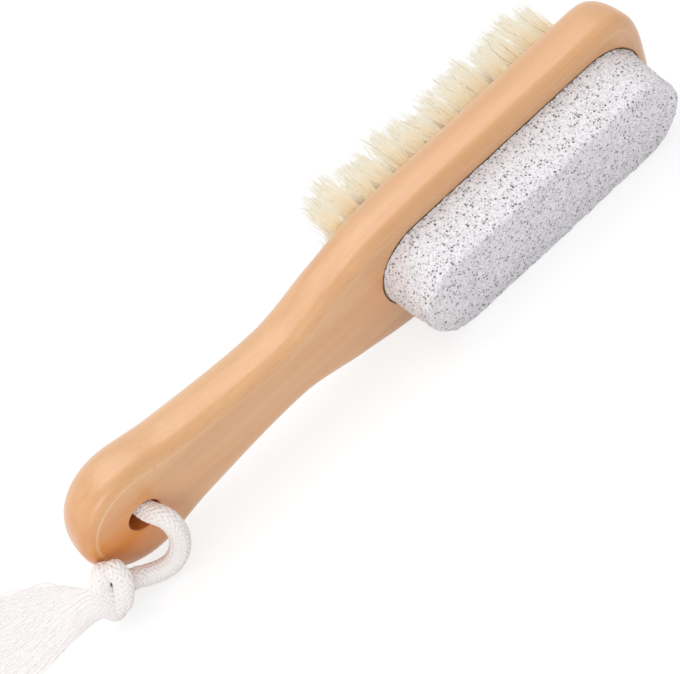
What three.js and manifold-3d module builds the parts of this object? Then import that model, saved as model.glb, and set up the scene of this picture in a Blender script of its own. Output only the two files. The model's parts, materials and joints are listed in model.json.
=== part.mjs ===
// Pumice foot file: a beech board with a bonded pumice block on its front face, anchor-set bristle
// tufts on its back face and a knotted cotton cord through the hanging hole in its handle.
//
// Millimetres. Tool frame: X runs from the handle's butt to the head, -Y faces the way the pumice
// does, +Y the way the bristles do, and Z crosses the width. The tool then lies on its side, as it
// rests on a table: tilted about X until the head's edge and the pumice's rim both touch the floor.

import * as THREE from 'three';
import { mergeVertices } from 'three/addons/utils/BufferGeometryUtils.js';
import Module from 'manifold-3d';

const wasm = await Module();
wasm.setup();

// Fits
const GAP = 0.3;
const WELD = 1e-4;
const CUT_OVERSHOOT = 2;

// Board, its lengths in order from the butt to the head
const BOARD_THICKNESS = 16;
const FRONT_EDGE_RADIUS = 3.5;
const BACK_EDGE_INSET = 8;
const HEAD_BACK_INSET = 6;
const BACK_EDGE_POWER = 2.28;
const BUTT_RADIUS = 19;
const GRIP_RUN = 18;
const GRIP_WIDTH = 30.4;
const NECK_RUN = 35;
const NECK_WIDTH = 23.2;
const FLARE_RUN = 21;
const FLARE_WIDTH = 33.8;
const SHOULDER_RUN = 20;
const SHOULDER_WIDTH = 42.6;
const HEAD_RUN = 22;
const HEAD_WIDTH = 44.4;
const HEAD_LENGTH = 56;
const HEAD_CAP_LENGTH = 15;
const HEAD_CAP_POWER = 3.2;
const HANG_HOLE_DIAMETER = 10;

// Pumice block, glued into a shallow seat
const STONE_END_MARGIN = 4;
const STONE_LENGTH = 96;
const STONE_WIDTH = 30.6;
const STONE_HEIGHT = 17;
const STONE_DRAFT = 1.2;
const STONE_RIM_RADIUS = 1.5;
const SEAT_DEPTH = 1.5;
const GLUE_THICKNESS = 0.6;

// Bristle tufts
const TUFT_ROWS = 4;
const TUFTS_PER_ROW = 14;
const TUFT_END_MARGIN = 17;
const TUFT_PITCH = 6.15;
const ROW_PITCH = 8;
const BRISTLE_LENGTH = 16;
const BRISTLE_TRIM = 0.8;
const BRISTLE_ROOT_RADIUS = 0.42;
const BRISTLE_TIP_RADIUS = 0.26;
const BRISTLES_PER_RING = 6;
const RING_RADIUS = 1.15;
const RING_SPREAD = 2;
const STRIP_WIDTH = 5.4;
const STRIP_THICKNESS = 1.2;
const PLUG_RADIUS = 1.6;
const PLUG_DEPTH = 4.6;

// Flat wire anchors that hold the tufts
const ANCHOR_HEIGHT = 2.1;
const ANCHOR_THICKNESS = 0.4;
const TUFTS_PER_ANCHOR = 2;

// Cotton cord, lying as it falls: offsets from the hanging hole's centre along the floor's axes
const CORD_DIAMETER = 6;
const CORD_ROUTE = [
  [-12.2, -8.8, -14.9],
  [-10.3, -8.3, -16.6],
  [-7.9, -8.5, -17.8],
  [-5.2, -9.1, -18.6],
  [-2.5, -10.0, -18.3],
  [0.1, -10.8, -16.8],
  [1.9, -11.7, -14.4],
  [3.1, -12.5, -11.6],
  [3.5, -13.1, -8.8],
  [3.5, -13.1, -6.1],
  [2.9, -12.2, -4.0],
  [2.0, -10.5, -2.9],
  [1.2, -8.0, -2.3],
  [0.8, -4.5, -1.1],
  [0.5, -0.2, 0.4],
  [0.3, 4.3, 1.7],
  [0.2, 7.8, 2.7],
  [0.1, 10.8, 2.8],
  [-0.3, 13.6, 1.4],
  [-1.1, 15.7, -1.4],
  [-2.8, 16.7, -4.8],
  [-5.4, 16.7, -8.6],
  [-8.6, 15.3, -12.5],
  [-11.6, 12.6, -15.7],
  [-13.6, 8.5, -17.4],
  [-15.0, 3.9, -17.9],
  [-16.2, -0.8, -16.9],
  [-17.2, -3.9, -15.5],
];
const KNOT_CENTRE = [-19.0, -9.6, -12.3];
const KNOT_LENGTH = 12.2;
const KNOT_WIDTH = 11.2;
const KNOT_HEIGHT = 18.2;
const KNOT_TURN = -20.9;
const KNOT_LEAN = 20;
const TASSEL_NECK = [-25.4, -6.6, -22.4];
const TASSEL_TURN = 53;
const TASSEL_LENGTH = 42;
const TASSEL_NECK_WIDTH = 8.4;
const TASSEL_END_WIDTH = 44;
const TASSEL_NECK_HEIGHT = 9.4;
const TASSEL_END_HEIGHT = 4.4;
const TASSEL_NECK_LIFT = 4.6;
const TASSEL_END_LIFT = 0.5;

// Facets
const BUTT_STEPS = 12;
const SIDE_STEPS = 28;
const CAP_STEPS = 12;
const FRONT_EDGE_STEPS = 4;
const BACK_EDGE_STEPS = 6;
const STONE_END_STEPS = 16;
const STONE_RIM_STEPS = 3;
const STRIP_END_STEPS = 6;
const HOLE_SIDES = 24;
const TUFT_HOLE_SIDES = 6;
const PLUG_SIDES = 6;
const BRISTLE_SIDES = 3;
const CORD_SIDES = 10;
const CORD_STEPS = 40;
const KNOT_SIDES = 16;
const KNOT_RINGS = 10;
const TASSEL_SIDES = 16;
const TASSEL_STEPS = 5;

// Derived places
const FRONT_Y = -BOARD_THICKNESS / 2;
const BACK_Y = BOARD_THICKNESS / 2;
const HOLE_X = BUTT_RADIUS;
const GRIP_X = BUTT_RADIUS + GRIP_RUN;
const NECK_X = GRIP_X + NECK_RUN;
const FLARE_X = NECK_X + FLARE_RUN;
const SHOULDER_X = FLARE_X + SHOULDER_RUN;
const HEAD_X = SHOULDER_X + HEAD_RUN;
const CAP_X = HEAD_X + HEAD_LENGTH;
const TOOL_LENGTH = CAP_X + HEAD_CAP_LENGTH;
const STONE_X = TOOL_LENGTH - STONE_END_MARGIN - STONE_LENGTH;
const TUFT_X = TOOL_LENGTH - TUFT_END_MARGIN - (TUFTS_PER_ROW - 1) * TUFT_PITCH;
const SEAT_Y = FRONT_Y + SEAT_DEPTH;
const GLUE_Y = SEAT_Y - GAP;
const STONE_BASE_Y = GLUE_Y - GLUE_THICKNESS - GAP;
const STONE_FACE_Y = FRONT_Y - STONE_HEIGHT;
const STRIP_Y = BACK_Y - STRIP_THICKNESS;
const ROOT_Y = BACK_Y - STRIP_THICKNESS / 2;
const PLUG_END_Y = STRIP_Y - PLUG_DEPTH;
const ANCHOR_TOP_Y = PLUG_END_Y - GAP;
const TUFT_HOLE_END_Y = ANCHOR_TOP_Y - ANCHOR_HEIGHT - GAP;
const TUFT_HOLE_RADIUS = PLUG_RADIUS + GAP;

function material(color, roughness, metalness) {
  return new THREE.MeshStandardMaterial({ color, roughness, metalness });
}

function named(name, geometry, finish) {
  const mesh = new THREE.Mesh(geometry, finish);
  mesh.name = name;
  return mesh;
}

// Joins and cuts

function toSolid(geometry) {
  const bare = geometry.clone();
  bare.deleteAttribute('normal');
  bare.deleteAttribute('uv');
  const merged = mergeVertices(bare, WELD);
  const vertProperties = new Float32Array(merged.attributes.position.array);
  const triVerts = new Uint32Array(merged.index.array);
  return new wasm.Manifold(new wasm.Mesh({ numProp: 3, vertProperties, triVerts }));
}

function toGeometry(solid) {
  const { vertProperties, triVerts } = solid.getMesh();
  const geometry = new THREE.BufferGeometry();
  geometry.setAttribute('position', new THREE.BufferAttribute(vertProperties, 3));
  geometry.setIndex(new THREE.BufferAttribute(triVerts, 1));
  geometry.computeVertexNormals();
  return geometry;
}

// Closed solid through a stack of outlines, each an (x, z) loop at its own y, lowest y first
function loft(rings) {
  const count = rings[0].outline.length;
  const positions = rings.flatMap(({ y, outline }) => outline.flatMap((p) => [p.x, y, p.y]));
  const index = [];
  for (let ring = 0; ring + 1 < rings.length; ring += 1) {
    for (let i = 0; i < count; i += 1) {
      const a = ring * count + i;
      const b = ring * count + ((i + 1) % count);
      index.push(a, a + count, b, b, a + count, b + count);
    }
  }
  const top = (rings.length - 1) * count;
  for (const [a, b, c] of THREE.ShapeUtils.triangulateShape(rings[0].outline, [])) {
    index.push(a, b, c);
  }
  for (const [a, b, c] of THREE.ShapeUtils.triangulateShape(rings.at(-1).outline, [])) {
    index.push(top + a, top + c, top + b);
  }
  const geometry = new THREE.BufferGeometry();
  geometry.setAttribute('position', new THREE.Float32BufferAttribute(positions, 3));
  geometry.setIndex(index);
  return geometry;
}

// Outline moved inwards along its own normals, by a share of the distance that may change along x
function inset(outline, distance, shareAt = () => 1) {
  const count = outline.length;
  return outline.map((point, i) => {
    const along = outline[(i + 1) % count].clone().sub(outline[(i + count - 1) % count]).normalize();
    const depth = distance * shareAt(point.x);
    return new THREE.Vector2(point.x - along.y * depth, point.y + along.x * depth);
  });
}

// Long outline with round ends
function stadium(x, length, width, endSteps) {
  const radius = width / 2;
  const outline = [];
  for (let i = 0; i <= endSteps; i += 1) {
    const angle = -Math.PI / 2 + (Math.PI * i) / endSteps;
    outline.push(new THREE.Vector2(x + length - radius + radius * Math.cos(angle), radius * Math.sin(angle)));
  }
  for (let i = 0; i <= endSteps; i += 1) {
    const angle = Math.PI / 2 + (Math.PI * i) / endSteps;
    outline.push(new THREE.Vector2(x + radius + radius * Math.cos(angle), radius * Math.sin(angle)));
  }
  return outline;
}

// Board

// Smooth half-width between the butt and the head cap, level at both ends
function sideProfile() {
  const stations = [
    [BUTT_RADIUS, BUTT_RADIUS],
    [GRIP_X, GRIP_WIDTH / 2],
    [NECK_X, NECK_WIDTH / 2],
    [FLARE_X, FLARE_WIDTH / 2],
    [SHOULDER_X, SHOULDER_WIDTH / 2],
    [HEAD_X, HEAD_WIDTH / 2],
    [CAP_X, HEAD_WIDTH / 2],
  ];
  const rise = stations.slice(1).map(([x, half], i) => (half - stations[i][1]) / (x - stations[i][0]));
  const slope = stations.map((station, i) => {
    const before = rise[i - 1] ?? 0;
    const after = rise[i] ?? 0;
    return before * after > 0 ? (2 * before * after) / (before + after) : 0;
  });
  return (x) => {
    const found = stations.findIndex(([end], i) => i > 0 && x <= end);
    const last = found < 0 ? stations.length - 1 : found;
    const [x0, h0] = stations[last - 1];
    const [x1, h1] = stations[last];
    const span = x1 - x0;
    const u = (x - x0) / span;
    const level = h0 * (1 + 2 * u) * (1 - u) ** 2 + h1 * u * u * (3 - 2 * u);
    return level + span * u * (1 - u) * (slope[last - 1] * (1 - u) - slope[last] * u);
  };
}

function boardOutline() {
  const half = sideProfile();
  const lower = [];
  for (let i = 0; i < BUTT_STEPS; i += 1) {
    const angle = (Math.PI / 2) * (i / BUTT_STEPS);
    lower.push(new THREE.Vector2(BUTT_RADIUS * (1 - Math.cos(angle)), -BUTT_RADIUS * Math.sin(angle)));
  }
  for (let i = 0; i < SIDE_STEPS; i += 1) {
    const x = THREE.MathUtils.lerp(BUTT_RADIUS, CAP_X, i / SIDE_STEPS);
    lower.push(new THREE.Vector2(x, -half(x)));
  }
  for (let i = 0; i <= CAP_STEPS; i += 1) {
    const angle = (Math.PI / 2) * (i / CAP_STEPS);
    const x = CAP_X + HEAD_CAP_LENGTH * Math.sin(angle) ** (2 / HEAD_CAP_POWER);
    const z = i < CAP_STEPS ? (HEAD_WIDTH / 2) * Math.cos(angle) ** (2 / HEAD_CAP_POWER) : 0;
    lower.push(new THREE.Vector2(x, -z));
  }
  const upper = lower.slice(1, -1).reverse().map((p) => new THREE.Vector2(p.x, -p.y));
  return [...lower, ...upper];
}

// The back's round narrows towards the head's end
function backShare(x) {
  const nearness = THREE.MathUtils.smoothstep(x, HEAD_X, TOOL_LENGTH);
  return THREE.MathUtils.lerp(1, HEAD_BACK_INSET / BACK_EDGE_INSET, nearness);
}

// Crisp round along the front edge, long oval round towards the back
function boardBlank() {
  const outline = boardOutline();
  const rings = [];
  for (let i = 0; i <= FRONT_EDGE_STEPS; i += 1) {
    const angle = (Math.PI / 2) * (i / FRONT_EDGE_STEPS);
    const y = FRONT_Y + FRONT_EDGE_RADIUS * (1 - Math.cos(angle));
    rings.push({ y, outline: inset(outline, FRONT_EDGE_RADIUS * (1 - Math.sin(angle))) });
  }
  const depth = BOARD_THICKNESS - FRONT_EDGE_RADIUS;
  for (let i = 1; i <= BACK_EDGE_STEPS; i += 1) {
    const angle = (Math.PI / 2) * (i / BACK_EDGE_STEPS);
    const y = FRONT_Y + FRONT_EDGE_RADIUS + depth * Math.sin(angle) ** (2 / BACK_EDGE_POWER);
    const kept = i < BACK_EDGE_STEPS ? Math.cos(angle) ** (2 / BACK_EDGE_POWER) : 0;
    rings.push({ y, outline: inset(outline, BACK_EDGE_INSET * (1 - kept), backShare) });
  }
  return loft(rings);
}

function prism(outline, lowY, highY) {
  return loft([{ y: lowY, outline }, { y: highY, outline }]);
}

function upright(radius, lowY, highY, sides, x, z) {
  const cylinder = new THREE.CylinderGeometry(radius, radius, highY - lowY, sides);
  return cylinder.translate(x, (lowY + highY) / 2, z);
}

function rowZ(row) {
  return (row - (TUFT_ROWS - 1) / 2) * ROW_PITCH;
}

function tuftX(place) {
  return TUFT_X + place * TUFT_PITCH;
}

function stripOutline(clearance) {
  const reach = STRIP_WIDTH / 2 + clearance;
  return stadium(TUFT_X - reach, tuftX(TUFTS_PER_ROW - 1) - TUFT_X + 2 * reach, 2 * reach, STRIP_END_STEPS);
}

// Flat wire under neighbouring tufts
function anchorPlate(row, first, clearance) {
  const last = Math.min(first + TUFTS_PER_ANCHOR, TUFTS_PER_ROW) - 1;
  const length = tuftX(last) - tuftX(first) + 2 * (PLUG_RADIUS + clearance);
  const height = ANCHOR_HEIGHT + 2 * clearance;
  const plate = new THREE.BoxGeometry(length, height, ANCHOR_THICKNESS + 2 * clearance);
  const x = (tuftX(first) + tuftX(last)) / 2;
  return plate.translate(x, ANCHOR_TOP_Y - ANCHOR_HEIGHT / 2, rowZ(row));
}

function board() {
  let solid = toSolid(boardBlank());
  const cut = (geometry) => {
    solid = solid.subtract(toSolid(geometry));
  };
  const past = BOARD_THICKNESS / 2 + CUT_OVERSHOOT;
  cut(upright(HANG_HOLE_DIAMETER / 2, -past, past, HOLE_SIDES, HOLE_X, 0));
  cut(prism(stoneOutline(-GAP), FRONT_Y - CUT_OVERSHOOT, SEAT_Y));
  for (let row = 0; row < TUFT_ROWS; row += 1) {
    cut(prism(stripOutline(GAP), STRIP_Y - GAP, BACK_Y + CUT_OVERSHOOT).translate(0, 0, rowZ(row)));
    for (let place = 0; place < TUFTS_PER_ROW; place += 1) {
      cut(upright(TUFT_HOLE_RADIUS, TUFT_HOLE_END_Y, BACK_Y, TUFT_HOLE_SIDES, tuftX(place), rowZ(row)));
    }
    for (let place = 0; place < TUFTS_PER_ROW; place += TUFTS_PER_ANCHOR) {
      cut(anchorPlate(row, place, GAP));
    }
  }
  return named('handle_board', toGeometry(solid), material(0xe0aa76, 0.38, 0));
}

// Pumice block and its glue

function stoneOutline(shrink) {
  return inset(stadium(STONE_X, STONE_LENGTH, STONE_WIDTH, STONE_END_STEPS), shrink);
}

function stone() {
  const rings = [];
  for (let i = 0; i <= STONE_RIM_STEPS; i += 1) {
    const angle = (Math.PI / 2) * (i / STONE_RIM_STEPS);
    const y = STONE_FACE_Y + STONE_RIM_RADIUS * (1 - Math.cos(angle));
    rings.push({ y, outline: stoneOutline(STONE_DRAFT + STONE_RIM_RADIUS * (1 - Math.sin(angle))) });
  }
  rings.push({ y: FRONT_Y, outline: stoneOutline(0) });
  rings.push({ y: STONE_BASE_Y, outline: stoneOutline(0) });
  return named('pumice_stone', loft(rings), material(0xd6d2d6, 0.95, 0));
}

function glueLayer() {
  const layer = prism(stoneOutline(GAP), GLUE_Y - GLUE_THICKNESS, GLUE_Y);
  return named('stone_glue_layer', layer, material(0xc9b58a, 0.5, 0));
}

// Bristles

// Tapered three-sided bristle between two points
function bristle(root, tip) {
  const height = root.distanceTo(tip);
  const strand = new THREE.CylinderGeometry(BRISTLE_TIP_RADIUS, BRISTLE_ROOT_RADIUS, height, BRISTLE_SIDES);
  strand.translate(0, height / 2, 0);
  const along = tip.clone().sub(root).normalize();
  strand.applyQuaternion(new THREE.Quaternion().setFromUnitVectors(new THREE.Vector3(0, 1, 0), along));
  return strand.translate(root.x, root.y, root.z);
}

// One central bristle and a ring about it, spread towards the tips
function tuft(row, place) {
  const strands = [];
  for (let i = 0; i <= BRISTLES_PER_RING; i += 1) {
    const radius = i === 0 ? 0 : RING_RADIUS;
    const angle = (2 * Math.PI * i) / BRISTLES_PER_RING + row + place;
    const dx = radius * Math.cos(angle);
    const dz = radius * Math.sin(angle);
    const rise = BRISTLE_LENGTH + BRISTLE_TRIM * Math.sin(3 * i + 5 * place + 7 * row);
    const root = new THREE.Vector3(tuftX(place) + dx, ROOT_Y, rowZ(row) + dz);
    const tip = root.clone();
    tip.x += dx * (RING_SPREAD - 1);
    tip.y = BACK_Y + rise;
    tip.z += dz * (RING_SPREAD - 1);
    strands.push(bristle(root, tip));
  }
  return strands;
}

// A row's tufts on a slice of the board's back, with the folded roots that fill the tuft holes
function bristleRow(row) {
  let solid = toSolid(prism(stripOutline(0), STRIP_Y, BACK_Y).translate(0, 0, rowZ(row)));
  for (let place = 0; place < TUFTS_PER_ROW; place += 1) {
    const plug = upright(PLUG_RADIUS, PLUG_END_Y, ROOT_Y, PLUG_SIDES, tuftX(place), rowZ(row));
    for (const piece of [plug, ...tuft(row, place)]) {
      solid = solid.add(toSolid(piece));
    }
  }
  return named(`bristle_row_${row + 1}`, toGeometry(solid), material(0xe6d7ac, 0.6, 0));
}

function anchor(row, first) {
  const label = String(first / TUFTS_PER_ANCHOR + 1).padStart(2, '0');
  return named(`tuft_anchor_${row + 1}_${label}`, anchorPlate(row, first, 0), material(0xc9a24e, 0.35, 1));
}

// Cord, knot and tassel

function ellipse(width, height, z, sides) {
  const outline = [];
  for (let i = 0; i < sides; i += 1) {
    const angle = (2 * Math.PI * i) / sides;
    outline.push(new THREE.Vector2((width / 2) * Math.cos(angle), z + (height / 2) * Math.sin(angle)));
  }
  return outline;
}

// From the knot up through the hanging hole and down behind the handle to the knot again
function cordLoop(cotton) {
  const path = new THREE.CatmullRomCurve3(CORD_ROUTE.map((place) => new THREE.Vector3(...place)));
  const section = new THREE.Shape(ellipse(CORD_DIAMETER, CORD_DIAMETER, 0, CORD_SIDES));
  const tube = new THREE.ExtrudeGeometry(section, { steps: CORD_STEPS, extrudePath: path });
  return named('cord_loop', tube, cotton);
}

function cordKnot(cotton) {
  const ball = new THREE.SphereGeometry(0.5, KNOT_SIDES, KNOT_RINGS);
  ball.rotateX(Math.PI / 2);
  ball.scale(KNOT_LENGTH, KNOT_WIDTH, KNOT_HEIGHT);
  ball.rotateY(THREE.MathUtils.degToRad(KNOT_LEAN));
  ball.rotateZ(THREE.MathUtils.degToRad(KNOT_TURN));
  ball.translate(...KNOT_CENTRE);
  return named('cord_knot', ball, cotton);
}

// Frayed ends, a flat fan on the floor
function cordTassel(cotton) {
  const rings = [];
  for (let i = 0; i <= TASSEL_STEPS; i += 1) {
    const share = i / TASSEL_STEPS;
    const width = THREE.MathUtils.lerp(TASSEL_NECK_WIDTH, TASSEL_END_WIDTH, Math.sin((share * Math.PI) / 2));
    const height = THREE.MathUtils.lerp(TASSEL_NECK_HEIGHT, TASSEL_END_HEIGHT, share);
    const lift = THREE.MathUtils.lerp(TASSEL_NECK_LIFT, TASSEL_END_LIFT, share);
    const outline = ellipse(width, height, lift + height / 2, TASSEL_SIDES);
    rings.push({ y: share * TASSEL_LENGTH, outline });
  }
  const fan = loft(rings);
  fan.rotateZ(THREE.MathUtils.degToRad(TASSEL_TURN));
  fan.translate(...TASSEL_NECK);
  return named('cord_tassel', fan, cotton);
}

// Rest pose: the line under the head's front edge and the pumice's rim lies level

function restTilt() {
  const edgeY = FRONT_Y + FRONT_EDGE_RADIUS;
  const edgeZ = FRONT_EDGE_RADIUS - HEAD_WIDTH / 2;
  const rimY = STONE_FACE_Y + STONE_RIM_RADIUS;
  const rimZ = STONE_RIM_RADIUS + STONE_DRAFT - STONE_WIDTH / 2;
  const apart = Math.hypot(rimY - edgeY, rimZ - edgeZ);
  return Math.atan2(rimZ - edgeZ, edgeY - rimY) + Math.asin((FRONT_EDGE_RADIUS - STONE_RIM_RADIUS) / apart);
}

const tool = new THREE.Group();
tool.add(board(), stone(), glueLayer());
for (let row = 0; row < TUFT_ROWS; row += 1) {
  tool.add(bristleRow(row));
  for (let place = 0; place < TUFTS_PER_ROW; place += TUFTS_PER_ANCHOR) {
    tool.add(anchor(row, place));
  }
}

tool.rotation.x = restTilt();
tool.updateMatrixWorld(true);
const reach = new THREE.Box3().setFromObject(tool, true);
const middle = reach.getCenter(new THREE.Vector3());
tool.position.set(-middle.x, -middle.y, -reach.min.z);

tool.updateMatrixWorld(true);

const cord = new THREE.Group();
cord.position.copy(tool.localToWorld(new THREE.Vector3(HOLE_X, 0, 0)));
const cotton = () => material(0xf1ece4, 0.9, 0);
cord.add(cordLoop(cotton()), cordKnot(cotton()), cordTassel(cotton()));

const footFile = new THREE.Group();
footFile.add(tool, cord);

export default footFile;
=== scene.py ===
"""Dressed model of a wooden foot file: a lacquered board with a pumice block on its front, bristle
tufts on its back and a knotted cotton cord through the hanging hole of its handle."""
import json
import math

import bmesh
import bpy
import numpy as np
from bpy.props import FloatProperty, FloatVectorProperty, IntProperty, PointerProperty
from mathutils import Matrix, Vector


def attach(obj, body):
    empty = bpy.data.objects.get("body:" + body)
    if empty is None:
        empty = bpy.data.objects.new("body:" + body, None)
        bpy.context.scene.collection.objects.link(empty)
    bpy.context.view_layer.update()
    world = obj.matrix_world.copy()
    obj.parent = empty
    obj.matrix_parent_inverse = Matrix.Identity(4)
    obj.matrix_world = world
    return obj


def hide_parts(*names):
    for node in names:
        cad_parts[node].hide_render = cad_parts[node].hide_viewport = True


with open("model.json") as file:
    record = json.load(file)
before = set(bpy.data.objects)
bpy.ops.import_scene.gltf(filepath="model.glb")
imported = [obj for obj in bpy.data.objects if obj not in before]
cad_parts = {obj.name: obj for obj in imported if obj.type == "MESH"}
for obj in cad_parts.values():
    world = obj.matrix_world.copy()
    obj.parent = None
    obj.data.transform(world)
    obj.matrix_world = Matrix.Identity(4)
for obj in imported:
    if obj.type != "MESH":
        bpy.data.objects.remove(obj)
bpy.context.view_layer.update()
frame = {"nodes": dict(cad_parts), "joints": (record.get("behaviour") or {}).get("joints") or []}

bl_info = {
    "name": "Pumice foot file",
    "version": (1, 0, 0),
    "blender": (4, 5, 0),
    "location": "View3D > Sidebar > Foot file",
    "description": "Wooden foot file with a pumice block, bristle tufts and a cotton hanging cord",
    "category": "Add Mesh",
}

MM = 0.001
# Chance turns, in radians, run over a little more than a full turn
FULL_TURN = 6.3

# The tool's own frame: x from butt to head, y from the pumice to the bristles, z across the width
SWING = frame["joints"][0]
BORE = Vector(SWING["pos_m"])
DEPTH_AXIS = Vector(SWING["axis"]).normalized()
LENGTH_AXIS = Vector((1, 0, 0))
BORE_X = 19 * MM
TOOL_ORIGIN = BORE - LENGTH_AXIS * BORE_X
TOOL_LEAN = math.atan2(DEPTH_AXIS.z, DEPTH_AXIS.y)
TOOL = Matrix.Translation(TOOL_ORIGIN) @ Matrix.Rotation(TOOL_LEAN, 4, "X")

# Camera of the photograph
CAMERA_PLACE = (-0.1307283, -0.5574286, 0.3927244)
CAMERA_RIGHT = (0.7248767, -0.4858438, -0.4883744)
CAMERA_UP = (0.6668120, 0.3168575, 0.6745095)
CAMERA_BACK = (-0.1729612, -0.8145901, 0.5536491)
CAMERA_LENS = 134.443

# Lamps: one overhead, where the handle's upper side mirrors it, and a low one at the left
KEY_PLACE = (0.02, 0.2, 0.94)
KEY_SIZE = 0.9
FILL_PLACE = (-0.75, -0.92, 0.34)
FILL_SIZE = 0.7
FLOOR_RADIUS = 2.5
FLOOR_MARGIN = 1.6

# Board lengths between its widths, from the butt to the head
GRIP_RUN = 18 * MM
NECK_RUN = 35 * MM
FLARE_RUN = 21 * MM
SHOULDER_RUN = 20 * MM
HEAD_RUN = 22 * MM
HEAD_LENGTH = 56 * MM
CAP_LENGTH = 15 * MM
CAP_POWER = 3.2
BOARD_RUNS = (BORE_X, GRIP_RUN, NECK_RUN, FLARE_RUN, SHOULDER_RUN, HEAD_RUN, HEAD_LENGTH)
TOOL_LENGTH = sum(BOARD_RUNS) + CAP_LENGTH
BUTT_STEPS, SIDE_STEPS, CAP_STEPS = 32, 96, 32
FRONT_STEPS, BACK_STEPS = 9, 24
HOLE_STEPS, DRILL_STEPS = 64, 20
SHARP_EDGE = math.radians(35)
# Rings just inside the front and back faces, which keep their shading flat
FRONT_FACE_RING = 0.9 * MM
BACK_FACE_RING = 0.4 * MM
# Marks on the wood, in the tool's frame: a deeper orange patch below the hole and a pin knot
ORANGE_PATCH_CENTRE = (10 * MM, -8 * MM, -8 * MM)
ORANGE_PATCH_REACH = (14 * MM, 12 * MM, 17 * MM)
PIN_KNOT = (28.1 * MM, -8 * MM, 13.8 * MM)
# How near a point of the mesh lies to a line or face that it belongs to
TOUCH = 0.1 * MM

# Seats in the board
SEAT_GAP = 0.3 * MM
SEAT_DEPTH = 1.5 * MM
STONE_END_MARGIN = 4 * MM
STONE_END_STEPS, RIM_STEPS = 40, 6
TUFT_ROWS, TUFTS_PER_ROW = 4, 14
TUFT_END_MARGIN = 17 * MM
TUFT_PITCH = 6.15 * MM
ROW_PITCH = 8 * MM
TUFT_HOLE_RADIUS = 1.4 * MM
TUFT_HOLE_DEPTH = 8.5 * MM
CUT_OVERSHOOT = 2 * MM

# Hairs of a tuft: the bundle in its hole, in mm how lengths, tips and bows differ, and shares
HAIR_STEPS, HAIR_SIDES = 5, 3
BUNDLE_RADIUS = 1.25 * MM
ROOT_DEPTH = 1.2 * MM
GOLDEN_ANGLE = 2.399963
TUFT_RISE, HAIR_RISE = 0.6, 1.35
HAIR_SPREAD = (1.6, 0.5)
HAIR_STRAY, HAIR_BOW, TUFT_TILT = 0.5, 0.5, 0.8
HAIR_THICKNESS = (0.8, 1.2)
WILD_SHARE, WILD_STRAY = 0.05, 3
# Tones from 0 to 1: unbleached hairs, all other hairs, and painted shade at the roots of the inner and outer
# rows
DARK_SHARE = 0.025
DARK_TONES, PALE_TONES = (0.4, 0.8), (0, 0.07)
INNER_ROOT_SHADE, OUTER_ROOT_SHADE = 1.35, 0.04
ROOT_SHADE_REACH = 0.85
OPEN_END_TUFTS = 2.5

# Cord as it falls, as places in mm from the hanging hole's centre along the floor's axes
CORD_ROUTE = (
    (-12.2, -8.8, -14.9), (-10.3, -8.3, -16.6), (-7.9, -8.5, -17.8), (-5.2, -9.1, -18.6),
    (-2.5, -10.0, -18.3), (0.1, -10.8, -16.8), (1.9, -11.7, -14.4), (3.1, -12.5, -11.6),
    (3.5, -13.1, -8.8), (3.5, -13.1, -6.1), (2.9, -12.2, -4.0), (2.0, -10.5, -2.9),
    (1.2, -8.0, -2.3), (0.8, -4.5, -1.1), (0.5, -0.2, 0.4), (0.3, 4.3, 1.7),
    (0.2, 7.8, 2.7), (0.1, 10.8, 2.8), (-0.3, 13.6, 1.4), (-1.1, 15.7, -1.4),
    (-2.8, 16.7, -4.8), (-5.4, 16.7, -8.6), (-8.6, 15.3, -12.5), (-11.6, 12.6, -15.7),
    (-13.6, 8.5, -17.4), (-15.0, 3.9, -17.9), (-16.2, -0.8, -16.9), (-17.2, -3.9, -15.5),
)
KNOT_CENTRE = (-19.0, -9.6, -12.3)
KNOT_TURN = math.radians(-20.9)
KNOT_LEAN = math.radians(20)
# One strand of the knot: angle round its core in degrees from the top by the front, place along
# the core in mm towards the loop, and how far out it lies as a share of the knot's size
KNOT_ROUTE = (
    (-110, -0.6, 0.55), (-60, 0.9, 0.95), (0, 1.5, 1.05), (30, 2.5, 1.04), (48, 3.1, 1.02),
    (66, 2.9, 1.0), (90, 2.3, 1.0), (120, 1.2, 0.98), (165, -0.4, 0.86), (220, -1.0, 0.84),
    (270, -1.2, 0.95), (320, -1.2, 1.0), (360, -1.3, 1.04), (390, -2.4, 1.0), (408, -3.1, 0.97),
    (426, -2.8, 0.97), (450, -2.4, 0.98), (480, -2.2, 1.0), (525, -1.0, 1.04), (580, 0.2, 1.0),
    (625, -0.6, 0.6),
)
KNOT_STRAND_HALF_WIDTH = 2.95 * MM
KNOT_STRAND_HALF_HEIGHT = 2.45 * MM

# Braid: spacing of points along it, how far the cord runs on into the knot, and its yarns
LINE_STEP = 0.28 * MM
RUN_ON = 0.45
YARN_COVER = 0.56
YARN_HALF_HEIGHT = 0.38 * MM
YARN_WAVE = 0.15 * MM
YARN_SIDES, CORE_SIDES = 6, 14
CORE_BITE = 0.1 * MM
YARN_SHIFT = 1.7

# Tassel: its place in mm from the hole, and in mm how its yarns differ
TASSEL_NECK = (-25.4, -6.6, -22.4)
TASSEL_TURN = math.radians(53)
TASSEL_STEPS, TASSEL_SIDES = 30, 4
TASSEL_HIDDEN = 0.09
TASSEL_REACH = (0.86, 1.0)
TASSEL_RADIUS = (0.2, 0.32)
TASSEL_TAPER = 0.75
TASSEL_WAVE = (8, 16)
TASSEL_SWAY, TASSEL_CURL, TASSEL_DRIFT = 0.45, 0.25, 1.0
TASSEL_BOUND = 0.3
TASSEL_CURL_PACE = 0.83
FLOOR_CLEARANCE = 0.05 * MM


def linear(code):
    """Linear colour of an sRGB hex value, with full opacity."""
    shares = [int(code[i:i + 2], 16) / 255 for i in (0, 2, 4)]
    return [c / 12.92 if c <= 0.04045 else ((c + 0.055) / 1.055) ** 2.4 for c in shares] + [1.0]


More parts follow.
